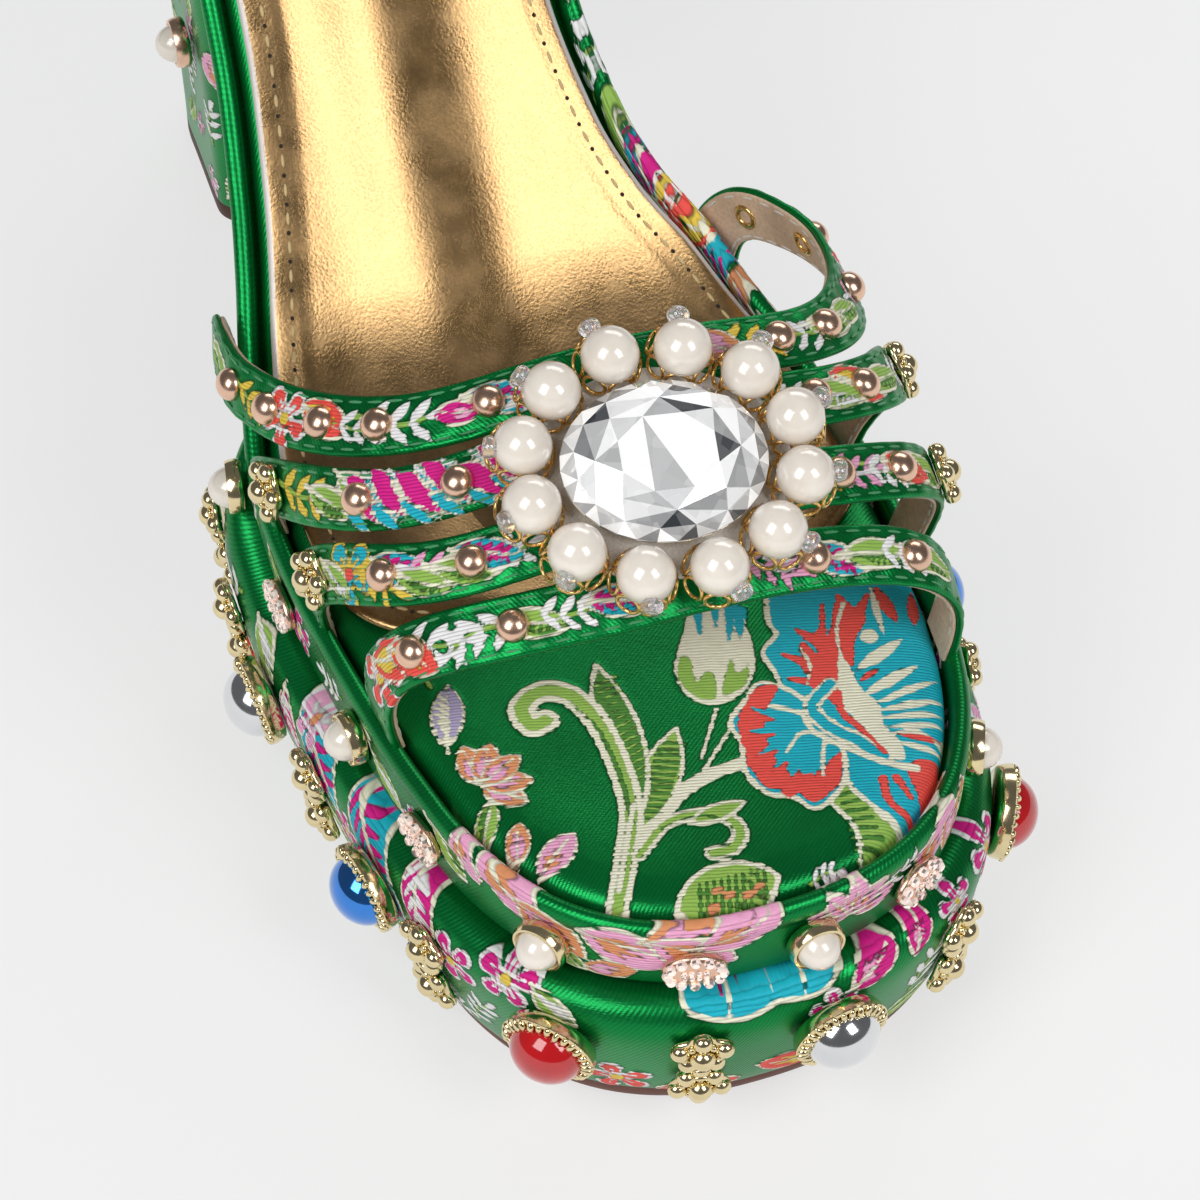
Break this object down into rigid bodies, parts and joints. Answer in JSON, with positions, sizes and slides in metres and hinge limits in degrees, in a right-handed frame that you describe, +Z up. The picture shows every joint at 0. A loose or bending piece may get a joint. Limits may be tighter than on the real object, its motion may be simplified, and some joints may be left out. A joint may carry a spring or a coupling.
{
  "type": "platform mule sandal",
  "caption": "Right-foot backless platform sandal in floral brocade: tall block heel, narrow straps joined under an oval jewelled brooch, set stones and pearls round the platform.",
  "frame": {"origin": "middle of the bounding box on the floor plane, under the shoe", "axes": "+Z up from the floor, -Y towards the toe and +Y towards the heel, +X towards the inner side of the foot"},
  "size_m": [0.1082, 0.2412, 0.1298],
  "materials": {
    "brocade": "green satin ground with woven coloured flowers",
    "gold_leather": "metallic gold, fine grain",
    "outsole": "matt dark brown",
    "top_piece": "matt near black",
    "pale_gold": "bright pale gold plate",
    "rose_gold": "bright rose gold plate",
    "pearl": "pearl lustre",
    "crystal": "cut crystal backed with foil",
    "silver": "mirror dome",
    "blue": "metallic blue dome",
    "red": "glossy translucent red dome"
  },
  "bodies": {
    "root": {"outsole": "outsole", "platform_lower": "brocade", "platform_upper": "brocade", "footbed": "brocade", "sock": "gold_leather", "waist_sole": "outsole", "heel": "brocade", "heel_top_piece": "top_piece", "upper_straps": "brocade", "brooch_tray": "pale_gold", "brooch_stone": "crystal", "brooch_pearl_01": "pearl", "brooch_pearl_02": "pearl", "brooch_pearl_03": "pearl", "brooch_pearl_04": "pearl", "brooch_pearl_05": "pearl", "brooch_pearl_06": "pearl", "brooch_pearl_07": "pearl", "brooch_pearl_08": "pearl", "brooch_pearl_09": "pearl", "brooch_pearl_10": "pearl", "brooch_pearl_11": "pearl", "brooch_pearl_12": "pearl", "setting_silver_left": "pale_gold", "setting_blue_left": "pale_gold", "setting_red_front": "pale_gold", "setting_silver_front": "pale_gold", "setting_red_right": "pale_gold", "setting_blue_right": "pale_gold", "cabochon_silver_left": "silver", "cabochon_blue_left": "blue", "cabochon_red_front": "red", "cabochon_silver_front": "silver", "cabochon_red_right": "red", "cabochon_blue_right": "blue", "flower_pair_rear": "pale_gold", "flower_pair_left_c": "pale_gold", "flower_pair_left_b": "pale_gold", "flower_pair_left_a": "pale_gold", "flower_pair_front": "pale_gold", "flower_pair_right_a": "pale_gold", "flower_pair_right_b": "pale_gold", "pearl_stud_rear": "pearl", "pearl_stud_left": "pearl", "pearl_stud_front_left": "pearl", "pearl_stud_front_right": "pearl", "pearl_stud_right": "pearl", "rondelle_left_b": "rose_gold", "rondelle_left_a": "rose_gold", "rondelle_front": "rose_gold", "rondelle_right": "rose_gold", "strap_flower_second_left": "pale_gold", "strap_flower_second_right": "pale_gold", "strap_flower_third_left": "pale_gold", "strap_flower_third_right": "pale_gold", "heel_stud": "pearl"}
  },
  "joints": []
}
